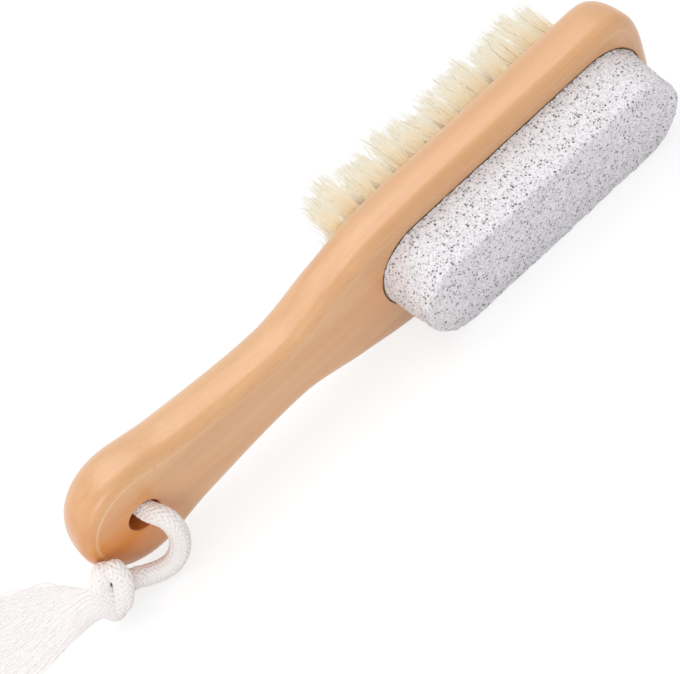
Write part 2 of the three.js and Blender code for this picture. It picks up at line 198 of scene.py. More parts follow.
def size_prop(name, description, value):
    """A length, given in mm."""
    return FloatProperty(name=name, description=description, default=value * MM, unit="LENGTH", precision=5)


def colour_prop(name, description, code):
    """A colour, given as an sRGB hex value."""
    return FloatVectorProperty(
        name=name, description=description, default=linear(code), size=4, min=0, max=1, subtype="COLOR")


class BoardLook(bpy.types.PropertyGroup):
    """Sizes and finish of the wooden board."""

    thickness: size_prop("Thickness", "Board from front face to back face", 16)
    front_edge: size_prop("Front edge", "Radius of the edge round the front face", 3.5)
    back_edge: size_prop("Back edge", "Width of the long round towards the back face", 8)
    head_back_edge: size_prop("Head's back edge", "Width of that round at the head's end", 6)
    back_power: FloatProperty(
        name="Back roundness", description="Power of the back round's oval", default=2.28)
    grip_width: size_prop("Grip width", "Handle behind the hanging hole", 30.4)
    neck_width: size_prop("Neck width", "Narrowest place of the handle", 23.2)
    flare_width: size_prop("Flare width", "Middle of the widening towards the head", 33.8)
    shoulder_width: size_prop("Shoulder width", "Board where the pumice begins", 42.6)
    head_width: size_prop("Head width", "Widest place of the head", 44.4)
    hole: size_prop("Hanging hole", "Diameter of the hole for the cord", 10)
    hole_round: size_prop("Hole rim", "Radius of the hole's rubbed rim", 0.45)
    pale: colour_prop("Pale wood", "Early wood between the bands", "E8B27D")
    deep: colour_prop("Deep wood", "Late wood in the bands", "DBA26D")
    # Painted shade: this deeper colour, from the shoulder on, tones down the light on the head
    heart: colour_prop("Heart wood", "Wood nearer the heart of the tree, at the head", "C88C57")
    fleck: colour_prop("Flecks", "Pores and rays cut along the grain", "C08A58")
    end: colour_prop("End grain", "Lacquer soaked into the ends", "E2881C")
    bore: colour_prop("Hole wall", "Drilled wall of the hanging hole", "C8702E")
    # Painted highlight: a pale line along the front edge, where light catches that edge
    rubbed: colour_prop("Rubbed edge", "Line where the front edge is rubbed", "F6D6A8")


class PumiceLook(bpy.types.PropertyGroup):
    """Sizes and finish of the pumice block."""

    length: size_prop("Length", "Block from end to end", 96)
    width: size_prop("Width", "Block across at its base", 30.6)
    height: size_prop("Height", "Block above the board's face", 17)
    draft: size_prop("Draft", "How much each wall leans in", 1.2)
    rim: size_prop("Rim", "Radius of the worn rim", 1.5)
    grain: size_prop("Mesh grain", "Spacing of the block's surface points", 0.36)
    body: colour_prop("Body", "Ground stone between the pores", "FEFCFF")
    shade: colour_prop("Shade", "Greyer patches of the stone", "F8F5FA")
    # Painted shade: this dark colour stands for the shade inside the open pores, and also darkens the grit
    pore: colour_prop("Pores", "Depth of the open pores", "7C757B")


class BristleLook(bpy.types.PropertyGroup):
    """Sizes and finish of the bristle tufts."""

    length: size_prop("Length", "Bristles above the board's back", 14.2)
    count: IntProperty(name="Bristles", description="Bristles in each tuft", default=135, min=1)
    root_radius: size_prop("Root radius", "Bristle at the board", 0.12)
    tip_radius: size_prop("Tip radius", "Bristle at its tip", 0.065)
    root: colour_prop("Root", "Bristle near the board", "FFE0AC")
    tip: colour_prop("Tip", "Bristle near its tip", "FFF7DF")
    # Also the colour of the painted shade at the roots inside the brush
    dark: colour_prop("Dark bristles", "The few unbleached bristles", "B07F30")


class CordLook(bpy.types.PropertyGroup):
    """Sizes and finish of the cotton cord."""

    diameter: size_prop("Diameter", "Cord over its braid", 6)
    strands: IntProperty(name="Strands", description="Strands each way round the braid", default=12, min=4)
    pitch: size_prop("Stitch", "Spacing of the braid's stitches along the cord", 1.45)
    knot_width: size_prop("Knot width", "Knot from front to back", 11.2)
    knot_height: size_prop("Knot height", "Knot from bottom to top", 18.2)
    tassel_length: size_prop("Tassel length", "Frayed ends from the knot", 42)
    neck_width: size_prop("Tassel neck", "Frayed ends across at the knot", 8.4)
    neck_height: size_prop("Neck height", "Frayed ends from bottom to top at the knot", 9.4)
    neck_lift: size_prop("Neck lift", "Frayed ends off the floor at the knot", 4.6)
    end_width: size_prop("Tassel end", "Fan across at its end", 44)
    end_height: size_prop("End height", "Fan from bottom to top at its end", 4.4)
    end_lift: size_prop("End lift", "Fan off the floor at its end", 0.5)
    yarns: IntProperty(name="Yarns", description="Frayed yarns", default=740, min=8)
    cotton: colour_prop("Cotton", "Undyed bleached cotton", "FDF9F8")
    # Painted shade: the colour of the hollows between strands, of each yarn's underside and of the core; it
    # also tints the fine fibre streaks
    hollow: colour_prop("Hollows", "Cotton deep between the strands", "E8DCD5")


class StageLook(bpy.types.PropertyGroup):
    """Light and floor."""

    floor: colour_prop("Floor", "Paper that the tool lies on", "DCDCDC")
    sky: FloatProperty(name="Sky", description="Strength of the light from all round", default=0.72)
    key: FloatProperty(name="Key", description="Power of the lamp above, in watts", default=3.2)
    fill: FloatProperty(name="Fill", description="Power of the low lamp in front, in watts", default=3.4)


class FootFile(bpy.types.PropertyGroup):
    """All that a user may change."""

    board: PointerProperty(type=BoardLook)
    pumice: PointerProperty(type=PumiceLook)
    bristle: PointerProperty(type=BristleLook)
    cord: PointerProperty(type=CordLook)
    stage: PointerProperty(type=StageLook)


# Materials

def add_node(tree, kind, inputs=(), **settings):
    """A shader node with its own settings, and its sockets' values or links by name or number. A node
    that is given as a value stands for the first of its outputs in use."""
    made = tree.nodes.new("ShaderNode" + kind)
    for name, value in settings.items():
        setattr(made, name, value)
    for socket, value in dict(inputs).items():
        if isinstance(value, bpy.types.Node):
            value = next(out for out in value.outputs if out.enabled)
        if isinstance(value, bpy.types.NodeSocket):
            tree.links.new(value, made.inputs[socket])
        else:
            made.inputs[socket].default_value = value
    return made


def bare_material(name):
    """A new material's tree, without nodes, and the material."""
    made = bpy.data.materials.new(name)
    made.use_nodes = True
    made.node_tree.nodes.clear()
    return made, made.node_tree


def tool_place(tree):
    """Object coordinates turned into the tool's own frame."""
    place = add_node(tree, "TexCoord").outputs["Object"]
    return add_node(tree, "Mapping", {
        "Vector": place, "Location": TOOL_ORIGIN, "Rotation": (TOOL_LEAN, 0, 0)}, vector_type="TEXTURE")


def cell_scale(*size):
    """Scale of a pattern whose cells have the given size in mm."""
    return [1 / (edge * MM) for edge in size]


def lacquered_beech(look):
    """Planed beech under clear satin lacquer: warm and pale, with faint bands, short flecks along
    the grain, deeper colour where the lacquer soaks into the end grain, soft long highlights, a
    painted highlight line along the front edge and painted shade towards the head."""
    made, tree = bare_material("lacquered_beech")
    place = tool_place(tree)
    # Bands about 5 mm wide and 120 mm long
    bands = add_node(tree, "TexNoise", {
        "Vector": add_node(tree, "Mapping", {"Vector": place, "Scale": cell_scale(120, 5, 5)}),
        "Scale": 1, "Detail": 3, "Roughness": 0.55, "Distortion": 0.4})
    band = add_node(tree, "MapRange", {"Value": bands, "From Min": 0.32, "From Max": 0.68})
    # Painted shade: from the shoulder on, the wood is painted a shade deeper to tone down the light on the
    # head
    along = add_node(tree, "SeparateXYZ", {"Vector": place})
    nearer = add_node(tree, "MapRange", {
        "Value": along, "From Min": 75 * MM, "From Max": 115 * MM, "To Min": 0, "To Max": 0.28})
    # Fibres 0.5 mm wide and 14 mm long, wider than real ones so that they show
    fibres = add_node(tree, "TexNoise", {
        "Vector": add_node(tree, "Mapping", {"Vector": place, "Scale": cell_scale(14, 0.5, 0.5)}),
        "Scale": 1, "Detail": 2, "Roughness": 0.6})
    streak = add_node(tree, "MapRange", {
        "Value": fibres, "From Min": 0.35, "From Max": 0.75, "To Min": 0, "To Max": 0.16})
    # Pore flecks about 0.5 mm wide and 2 mm long
    flecks = add_node(tree, "TexVoronoi", {
        "Vector": add_node(tree, "Mapping", {"Vector": place, "Scale": cell_scale(4.2, 1.1, 1.1)}),
        "Scale": 1, "Randomness": 1})
    fleck = add_node(tree, "MapRange", {
        "Value": flecks, "From Min": 0.12, "From Max": 0.34, "To Min": 0.16, "To Max": 0})
    # A deeper orange patch in the end grain's colour on the butt's face below the hole, some 30 mm across
    # with a torn edge
    patch = add_node(tree, "VectorMath", {
        0: add_node(tree, "Mapping", {
            "Vector": place, "Location": ORANGE_PATCH_CENTRE, "Scale": ORANGE_PATCH_REACH,
        }, vector_type="TEXTURE")}, operation="LENGTH")
    torn = add_node(tree, "Math", {0: fibres, 1: 0.3, 2: patch}, operation="MULTIPLY_ADD")
    orange_patch = add_node(tree, "MapRange", {
        "Value": torn, "From Min": 0.4, "From Max": 1.75, "To Min": 1, "To Max": 0})
    end_grain_and_patch = add_node(tree, "Math", {
        0: add_node(tree, "Attribute", attribute_name="end_grain").outputs["Fac"],
        1: orange_patch}, operation="MAXIMUM")
    # The pin knot is 0.8 mm across
    pin = add_node(tree, "VectorMath", {0: place, 1: PIN_KNOT}, operation="DISTANCE")
    speck = add_node(tree, "MapRange", {
        "Value": pin, "From Min": 0.2 * MM, "From Max": 0.6 * MM, "To Min": 0.6, "To Max": 0})
    # The pale line along the front edge is a painted highlight
    rubbed = add_node(tree, "Attribute", attribute_name="edge_highlight")
    drilled = add_node(tree, "Attribute", attribute_name="bore")
    colour = look.pale
    for cover, coat in (
            (band, look.deep), (nearer, look.heart), (streak, look.fleck), (fleck, look.fleck),
            (end_grain_and_patch, look.end), (speck, look.bore), (rubbed.outputs["Fac"], look.rubbed),
            (drilled.outputs["Fac"], look.bore)):
        colour = add_node(tree, "Mix", {0: cover, 6: colour, 7: coat}, data_type="RGBA")
    rough = add_node(tree, "MapRange", {"Value": bands, "To Min": 0.36, "To Max": 0.48})
    relief = add_node(tree, "Bump", {"Height": fibres, "Strength": 0.12, "Distance": 0.2 * MM})
    shader = add_node(tree, "BsdfPrincipled", {
        "Base Color": colour, "Roughness": rough, "IOR": 1.5,
        "Coat Weight": 1.0, "Coat Roughness": 0.3, "Normal": relief})
    add_node(tree, "OutputMaterial", {"Surface": shader})
    return made


def ground_pumice(look):
    """Foamed pumice ground to a block: chalky pale grey, quite matt, with open pores of many sizes,
    darkened by painted shade in their hollows, and a gritty grain between them."""
    made, tree = bare_material("ground_pumice")
    place = add_node(tree, "TexCoord").outputs["Object"]
    # Patches about 7 mm across
    patches = add_node(tree, "TexNoise", {
        "Vector": place, "Scale": 1 / (7 * MM), "Detail": 3, "Roughness": 0.6})
    # Grit of 0.8 mm
    grit = add_node(tree, "TexNoise", {
        "Vector": place, "Scale": 1 / (0.8 * MM), "Detail": 3, "Roughness": 0.8})
    # Bubbles cut open by the grinding: 0.8 mm apart and up to 0.8 mm across, and 0.48 mm apart and fine
    large = opened_bubbles(tree, place, 0.8 * MM, 0.14, 0.36)
    fine = opened_bubbles(tree, place, 0.48 * MM, 0.14, 0.28)
    # The pores' dark colour is painted shade inside the bubbles
    pores = add_node(tree, "Math", {
        0: fine, 1: 0.65, 2: large}, operation="MULTIPLY_ADD", use_clamp=True)
    dust = add_node(tree, "MapRange", {
        "Value": grit, "From Min": 0.45, "From Max": 0.7, "To Min": 0, "To Max": 0.36})
    colour = look.body
    for cover, coat in ((patches, look.shade), (dust, look.pore), (pores, look.pore)):
        colour = add_node(tree, "Mix", {0: cover, 6: colour, 7: coat}, data_type="RGBA")
    height = add_node(tree, "Math", {
        0: grit, 1: 0.8, 2: add_node(tree, "Math", {
            0: 0.0, 1: pores}, operation="SUBTRACT")}, operation="MULTIPLY_ADD")
    relief = add_node(tree, "Bump", {"Height": height, "Strength": 0.8, "Distance": 0.6 * MM})
    shader = add_node(tree, "BsdfPrincipled", {
        "Base Color": colour, "Roughness": 0.95, "IOR": 1.5, "Specular IOR Level": 0.2,
        "Normal": relief})
    add_node(tree, "OutputMaterial", {"Surface": shader})
    return made


def opened_bubbles(tree, place, spacing, least, growth):
    """Share of open pore, painted dark as the shade inside it: bubbles a spacing apart, each with its
    own depth and, in parts of the spacing, its own radius, most of them small."""
    cells = add_node(tree, "TexVoronoi", {"Vector": place, "Scale": 1 / spacing, "Randomness": 1})
    chance = add_node(tree, "SeparateColor", {"Color": cells.outputs["Color"]})
    size = add_node(tree, "Math", {
        0: chance.outputs["Red"], 1: chance.outputs["Red"]}, operation="MULTIPLY")
    radius = add_node(tree, "Math", {0: size, 1: growth, 2: least}, operation="MULTIPLY_ADD")
    depth = add_node(tree, "MapRange", {"Value": chance.outputs["Green"], "To Min": 0.5})
    inside = add_node(tree, "Math", {0: radius, 1: cells}, operation="SUBTRACT")
    return add_node(tree, "MapRange", {"Value": inside, "From Max": 0.12, "To Max": depth})


def boar_bristle(look):
    """Bleached boar bristle: cream and slightly glossy hairs, yellower at the root and nearly white
    at the tip, each a little different, a few left dark, and painted shade at the roots, deepest in the
    inner rows."""
    made, tree = bare_material("boar_bristle")
    height = add_node(tree, "Attribute", attribute_name="hair_height").outputs["Fac"]
    tone = add_node(tree, "Attribute", attribute_name="hair_tone_and_shade").outputs["Fac"]
    fade = add_node(tree, "MapRange", {"Value": height, "From Min": 0.08, "From Max": 0.7})
    colour = look.root
    for cover, coat in ((fade, look.tip), (tone, look.dark)):
        colour = add_node(tree, "Mix", {0: cover, 6: colour, 7: coat}, data_type="RGBA")
    shader = add_node(tree, "BsdfPrincipled", {
        "Base Color": colour, "Roughness": 0.42, "IOR": 1.55, "Specular IOR Level": 0.3})
    add_node(tree, "OutputMaterial", {"Surface": shader})
    return made


def braided_cotton(look):
    """Bleached cotton yarn: soft and quite matt, with fine fibres along each strand, painted shade in
    the hollows between the strands and a fuzzy sheen at the edges."""
    made, tree = bare_material("braided_cotton")
    lay = add_node(tree, "Attribute", attribute_name="yarn_lay").outputs["Vector"]
    # Fibres 0.12 mm across and 3 mm long, along each strand, and others on the next one
    fibres = add_node(tree, "TexNoise", {
        "Vector": add_node(tree, "Mapping", {"Vector": lay, "Scale": cell_scale(3, 0.12, 1000)}),
        "Scale": 1, "Detail": 2, "Roughness": 0.6})
    # Painted shade, where strands pass under others and in the hollows
    depth = add_node(tree, "Attribute", attribute_name="yarn_shade").outputs["Fac"]
    worn = add_node(tree, "MapRange", {
        "Value": fibres, "From Min": 0.3, "From Max": 0.8, "To Min": 0, "To Max": 0.15})
    colour = look.cotton
    for cover, coat in ((depth, look.hollow), (worn, look.hollow)):
        colour = add_node(tree, "Mix", {0: cover, 6: colour, 7: coat}, data_type="RGBA")
    relief = add_node(tree, "Bump", {"Height": fibres, "Strength": 0.3, "Distance": 0.1 * MM})
    shader = add_node(tree, "BsdfPrincipled", {
        "Base Color": colour, "Roughness": 0.92, "IOR": 1.45, "Specular IOR Level": 0.15,
        "Sheen Weight": 0.25, "Sheen Roughness": 0.5, "Normal": relief})
    add_node(tree, "OutputMaterial", {"Surface": shader})
    return made


def set_glue():
    """Set wood glue: yellowish, slightly cloudy and half glossy, with a few small bubbles."""
    made, tree = bare_material("set_glue")
    place = add_node(tree, "TexCoord").outputs["Object"]
    # Bubbles 2 mm apart
    bubbles = add_node(tree, "TexVoronoi", {"Vector": place, "Scale": 1 / (2 * MM)})
    colour = add_node(tree, "Mix", {
        0: bubbles, 6: linear("CDB98C"), 7: linear("B9A172")}, data_type="RGBA")
    shader = add_node(tree, "BsdfPrincipled", {"Base Color": colour, "Roughness": 0.45, "IOR": 1.47})
    add_node(tree, "OutputMaterial", {"Surface": shader})
    return made


def drawn_brass():
    """Flat drawn brass wire: yellow metal with fine drawing lines along its length."""
    made, tree = bare_material("drawn_brass")
    # Drawing lines 0.1 mm apart
    lines = add_node(tree, "TexNoise", {
        "Vector": add_node(tree, "Mapping", {"Vector": tool_place(tree), "Scale": cell_scale(3, 0.1, 0.1)}),
        "Scale": 1})
    rough = add_node(tree, "MapRange", {"Value": lines, "To Min": 0.25, "To Max": 0.42})
    colour = add_node(tree, "Mix", {
        0: lines, 6: linear("D4B25E"), 7: linear("BD9743")}, data_type="RGBA")
    shader = add_node(tree, "BsdfPrincipled", {
        "Base Color": colour, "Metallic": 1.0, "Roughness": rough})
    add_node(tree, "OutputMaterial", {"Surface": shader})
    return made


def seen_plainly(tree):
    """One for rays that the camera, a mirror or a glass sends, nought for all other light."""
    path = add_node(tree, "LightPath").outputs
    bent = add_node(tree, "Math", {
        0: path["Is Glossy Ray"], 1: path["Is Transmission Ray"]}, operation="MAXIMUM")
    return add_node(tree, "Math", {0: path["Is Camera Ray"], 1: bent}, operation="MAXIMUM")


def studio_paper(look):
    """White studio paper: full white to the camera apart from the tool's soft shadow, plain matt
    paper to all other light."""
    made, tree = bare_material("studio_paper")
    matt = add_node(tree, "BsdfDiffuse", {"Color": look.floor})
    thin = add_node(tree, "BsdfDiffuse", {"Color": (0.26, 0.26, 0.26, 1)})
    glow = add_node(tree, "Emission", {"Color": (1, 1, 1, 1), "Strength": 0.78})
    white = add_node(tree, "AddShader", {0: thin, 1: glow})
    shader = add_node(tree, "MixShader", {0: seen_plainly(tree), 1: matt, 2: white})
    add_node(tree, "OutputMaterial", {"Surface": shader})
    return made


# Outlines in the tool's frame, as (x, z) points

def board_outline(look):
    """Plan of the board, from the butt along the near side to the head and back along the far one."""
    runs = np.cumsum(BOARD_RUNS)
    halves = np.array([2 * BORE_X, look.grip_width, look.neck_width, look.flare_width,
                       look.shoulder_width, look.head_width, look.head_width]) / 2
    rise = np.diff(halves) / np.diff(runs)
    slope = np.zeros(len(runs))
    for i in range(1, len(runs) - 1):
        if rise[i - 1] * rise[i] > 0:
            slope[i] = 2 * rise[i - 1] * rise[i] / (rise[i - 1] + rise[i])
    x = np.linspace(runs[0], runs[-1], SIDE_STEPS, endpoint=False)
    i = np.searchsorted(runs, x, side="right") - 1
    span = np.diff(runs)[i]
    u = (x - runs[i]) / span
    half = halves[i] * (1 + 2 * u) * (1 - u) ** 2 + halves[i + 1] * u * u * (3 - 2 * u)
    half += span * u * (1 - u) * (slope[i] * (1 - u) - slope[i + 1] * u)
    turn = np.linspace(0, math.pi / 2, BUTT_STEPS, endpoint=False)
    butt = np.column_stack([BORE_X * (1 - np.cos(turn)), -BORE_X * np.sin(turn)])
    turn = np.linspace(0, math.pi / 2, CAP_STEPS + 1)
    cap_x = runs[-1] + CAP_LENGTH * np.sin(turn) ** (2 / CAP_POWER)
    cap_z = look.head_width / 2 * np.clip(np.cos(turn), 0, 1) ** (2 / CAP_POWER)
    cap_z[-1] = 0
    near = np.vstack([butt, np.column_stack([x, -half]), np.column_stack([cap_x, -cap_z])])
    far = near[-2:0:-1] * (1, -1)
    return np.vstack([near, far])


def drawn_in(outline, distance):
    """The outline moved inwards along its own normals, by one distance or by one for each point."""
    along = np.roll(outline, -1, axis=0) - np.roll(outline, 1, axis=0)
    along /= np.linalg.norm(along, axis=1)[:, None]
    return outline + np.reshape(distance, (-1, 1)) * np.column_stack([-along[:, 1], along[:, 0]])


def stone_outline(look, shrink):
    """Plan of the pumice block, a bar with full round ends."""
    radius = look.width / 2 - shrink
    ends = TOOL_LENGTH - STONE_END_MARGIN - look.width / 2
    turn = np.linspace(-math.pi / 2, math.pi / 2, STONE_END_STEPS + 1)
    head = np.column_stack([ends + radius * np.cos(turn), radius * np.sin(turn)])
    heel = np.column_stack([ends - look.length + look.width - radius * np.cos(turn), -radius * np.sin(turn)])
    return np.vstack([head, heel])


def circle(x, z, radius, count):
    """Plan of a round hole."""
    turn = np.linspace(0, 2 * math.pi, count, endpoint=False)
    return np.column_stack([x + radius * np.cos(turn), z + radius * np.sin(turn)])


def tuft_places():
    """Middles of all tufts as rows of (x, z)."""
    first = TOOL_LENGTH - TUFT_END_MARGIN - (TUFTS_PER_ROW - 1) * TUFT_PITCH
    return [[(first + place * TUFT_PITCH, (row - (TUFT_ROWS - 1) / 2) * ROW_PITCH)
             for place in range(TUFTS_PER_ROW)] for row in range(TUFT_ROWS)]


# Modelling as by hand

def stacked(name, rings):
    """A closed piece from a circle that is extruded through rings, each a height y and an outline,
    in the tool's frame."""
    bpy.ops.object.select_all(action="DESELECT")
    count = len(rings[0][1])
    bpy.ops.mesh.primitive_circle_add(vertices=count, radius=0.01, enter_editmode=True, location=(0, 0, 0))
    piece = bpy.context.object
    piece.name = piece.data.name = name
    shape = bmesh.from_edit_mesh(piece.data)
    shape.verts.ensure_lookup_table()
    order = {vert.index: vert.index for vert in shape.verts}
    for level, (y, outline) in enumerate(rings):
        if level:
            bpy.ops.mesh.extrude_edges_move()
            shape = bmesh.from_edit_mesh(piece.data)
            shape.verts.index_update()
            order = {vert.index: order[edge.other_vert(vert).index] for vert in shape.verts if vert.select
                     for edge in vert.link_edges if not edge.other_vert(vert).select}
        shape.verts.ensure_lookup_table()
        for index, point in order.items():
            shape.verts[index].co = (outline[point][0], y, outline[point][1])
        if level in (0, len(rings) - 1):
            bmesh.update_edit_mesh(piece.data)
            bpy.ops.mesh.edge_face_add()
            if level == 0:
                bpy.ops.mesh.select_all(action="DESELECT")
                shape = bmesh.from_edit_mesh(piece.data)
                shape.verts.ensure_lookup_table()
                shape.faces.ensure_lookup_table()
                for edge in shape.faces[0].edges:
                    edge.select_set(True)
                bpy.context.tool_settings.mesh_select_mode = (False, True, False)
        bmesh.update_edit_mesh(piece.data)
    bpy.ops.mesh.select_all(action="SELECT")
    bpy.ops.mesh.normals_make_consistent(inside=False)
    bpy.ops.object.mode_set(mode="OBJECT")
    return piece


def cut(piece, tool):
    """Takes the tool's shape out of the piece, and the tool away."""
    bpy.ops.object.select_all(action="DESELECT")
    bpy.context.view_layer.objects.active = piece
    piece.select_set(True)
    bpy.ops.object.modifier_add(type="BOOLEAN")
    step = piece.modifiers[-1]
    step.operation, step.solver, step.object = "DIFFERENCE", "EXACT", tool
    bpy.ops.object.modifier_apply(modifier=step.name)
    bpy.data.objects.remove(tool)


def arrayed(piece, count, offset):
    """Repeats the piece along an offset."""
    bpy.context.view_layer.objects.active = piece
    bpy.ops.object.modifier_add(type="ARRAY")
    step = piece.modifiers[-1]
    step.count, step.use_relative_offset, step.use_constant_offset = count, False, True
    step.constant_offset_displace = offset
    bpy.ops.object.modifier_apply(modifier=step.name)


def set_down(piece, finish, body, slot, *nodes):
    """Turns a piece out of the tool's frame, gives it its finish and fixes it to its body."""
    piece.data.transform(TOOL)
    fixed(piece, finish, body, slot, *nodes)


def fixed(piece, finish, body, slot, *nodes):
    """Gives a piece its finish, and fixes it to its body in place of the plain solids."""
    piece.data.materials.clear()
    piece.data.materials.append(finish)
    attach(piece, body)
    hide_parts(*nodes)


def painted(mesh, name, values, kind="FLOAT"):
    """Stores one value or vector for each point of a mesh."""
    layer = mesh.attributes.new(name, kind, "POINT")
    field = "vector" if kind == "FLOAT_VECTOR" else "value"
    layer.data.foreach_set(field, np.ravel(values).astype(np.float32))


def vectors_of(items, field):
    """A vector field of a mesh's points, as rows."""
    flat = np.zeros(len(items) * 3, np.float32)
    items.foreach_get(field, flat)
    return flat.reshape(-1, 3).astype(float)


# Yarns, hairs and braid

def unit(vectors):
    """Vectors brought to length 1."""
    return vectors / np.linalg.norm(vectors, axis=-1, keepdims=True)


def run_along(line):
    """Length of a line up to each of its points."""
    return np.concatenate([[0], np.cumsum(np.linalg.norm(np.diff(line, axis=0), axis=1))])


def smooth_line(points):
    """Evenly spaced points on a smooth curve through the given ones."""
    p = np.vstack([2 * points[0] - points[1], points, 2 * points[-1] - points[-2]])
    u = np.linspace(0, 1, 24, endpoint=False)[:, None]
    fine = []
    for a, b, c, d in zip(p, p[1:], p[2:], p[3:]):
        fine.append(b + 0.5 * u * (c - a + u * (2 * a - 5 * b + 4 * c - d + u * (3 * (b - c) + d - a))))
    fine = np.vstack(fine + [points[-1:]])
    run = run_along(fine)
    at = np.linspace(0, run[-1], round(run[-1] / LINE_STEP) + 1)
    return np.column_stack([np.interp(at, run, fine[:, k]) for k in range(3)])


def carried_normals(line):
    """Normals that turn as little as they can along a line."""
    tangent = unit(np.gradient(line, axis=0))
    normal = np.cross(tangent[0], (0.3, 0.2, 1))
    normals = []
    for t in tangent:
        normal = unit(normal - np.dot(normal, t) * t)
        normals.append(normal)
    return np.array(normals)


def tubes(paths, outward, half_width, half_height, sides):
    """Points and faces of closed oval tubes, one along each path, their height along outward."""
    count, steps = paths.shape[:2]
    tangent = unit(np.gradient(paths, axis=1))
    up = unit(outward - np.sum(outward * tangent, axis=-1, keepdims=True) * tangent)
    across = np.cross(up, tangent)
    turn = np.linspace(0, 2 * math.pi, sides, endpoint=False)
    ring = np.cos(turn)[:, None] * (across * half_width[..., None])[:, :, None]
    ring = ring + np.sin(turn)[:, None] * (up * half_height[..., None])[:, :, None]
    points = (paths[:, :, None] + ring).reshape(-1, 3)
    ids = np.arange(count * steps * sides).reshape(count, steps, sides)
    here, there = ids[:, :-1], ids[:, 1:]
    walls = np.stack([here, np.roll(here, -1, 2), np.roll(there, -1, 2), there], -1).reshape(-1, 4)
    ends = np.concatenate([ids[:, 0, ::-1], ids[:, -1]])
    return points, walls.tolist() + ends.tolist()


def mesh_piece(name, points, faces):
    """A smooth piece from points and faces in the room's frame."""
    mesh = bpy.data.meshes.new(name)
    mesh.from_pydata(points.tolist(), [], faces)
    mesh.update()
    mesh.shade_smooth()
    piece = bpy.data.objects.new(name, mesh)
    bpy.context.scene.collection.objects.link(piece)
    return piece


def yarn_lay(run, half_width, sides):
    """Where each point of a set of yarns lies: along its yarn, across it, and a place of the yarn's own."""
    around = np.linspace(0, 2 * math.pi, sides, endpoint=False)
    lay = np.zeros((*run.shape, sides, 3))
    lay[..., 0] = run[..., None]
    lay[..., 1] = half_width * np.cos(around)
    lay[..., 2] = np.arange(len(run))[:, None, None] * YARN_SHIFT
    return lay.reshape(-1, 3)


def braid(name, line, normals, look, half_width, half_height):
    """A herringbone braid along a line: strands both ways round, each over two and under two, with
    a soft core inside them."""
    sideways = np.cross(unit(np.gradient(line, axis=0)), normals)
    run = run_along(line)
    stitch = run / look.pitch
    paths, outs, depths = [], [], []
    for sense in (1, -1):
        for k in range(look.strands):
            turn = 2 * math.pi * (k - sense * stitch) / look.strands
            weave = sense * np.cos(math.pi / 2 * (2 * k - sense * 2 * stitch - 0.5))
            lift = YARN_WAVE * (weave - 1) - YARN_HALF_HEIGHT
            rise, swing = np.cos(turn)[:, None] * normals, np.sin(turn)[:, None] * sideways
            paths.append(line + rise * (half_height + lift)[:, None] + swing * (half_width + lift)[:, None])
            outs.append(rise + swing)
            depths.append(0.5 - 0.5 * weave)
    paths = np.array(paths)
    yarn_width = YARN_COVER * look.pitch / math.sqrt(2)
    points, faces = tubes(paths, np.array(outs), np.full(paths.shape[:2], yarn_width),
                          np.full(paths.shape[:2], YARN_HALF_HEIGHT), YARN_SIDES)
    inner = 2 * (YARN_WAVE + YARN_HALF_HEIGHT) - CORE_BITE
    core_points, core_faces = tubes(line[None], normals[None], (half_width - inner)[None],
                                    (half_height - inner)[None], CORE_SIDES)
    faces += [[v + len(points) for v in face] for face in core_faces]
    piece = mesh_piece(name, np.vstack([points, core_points]), faces)
    lay = yarn_lay(np.broadcast_to(run * math.sqrt(2), paths.shape[:2]), yarn_width, YARN_SIDES)
    painted(piece.data, "yarn_lay", np.vstack([lay, np.zeros((len(core_points), 3))]), "FLOAT_VECTOR")
    around = np.linspace(0, 2 * math.pi, YARN_SIDES, endpoint=False)
    # Painted shade: darker where a strand passes under others, on each yarn's underside, and all over the
    # core
    deep = np.clip(0.75 * np.array(depths)[..., None] - 0.25 * np.sin(around), 0, 1)
    painted(piece.data, "yarn_shade", np.concatenate([deep.ravel(), np.ones(len(core_points))]))
    return piece


def cord_line():
    """The cord's centreline with both ends run on into the knot."""
    places = np.array(CORD_ROUTE) * MM
    heart = np.array(KNOT_CENTRE) * MM
    front = places[0] + (heart - places[0]) * RUN_ON
    back = places[-1] + (heart - places[-1]) * RUN_ON
    return smooth_line(np.vstack([front, places, back]) + np.array(BORE))


# Operators

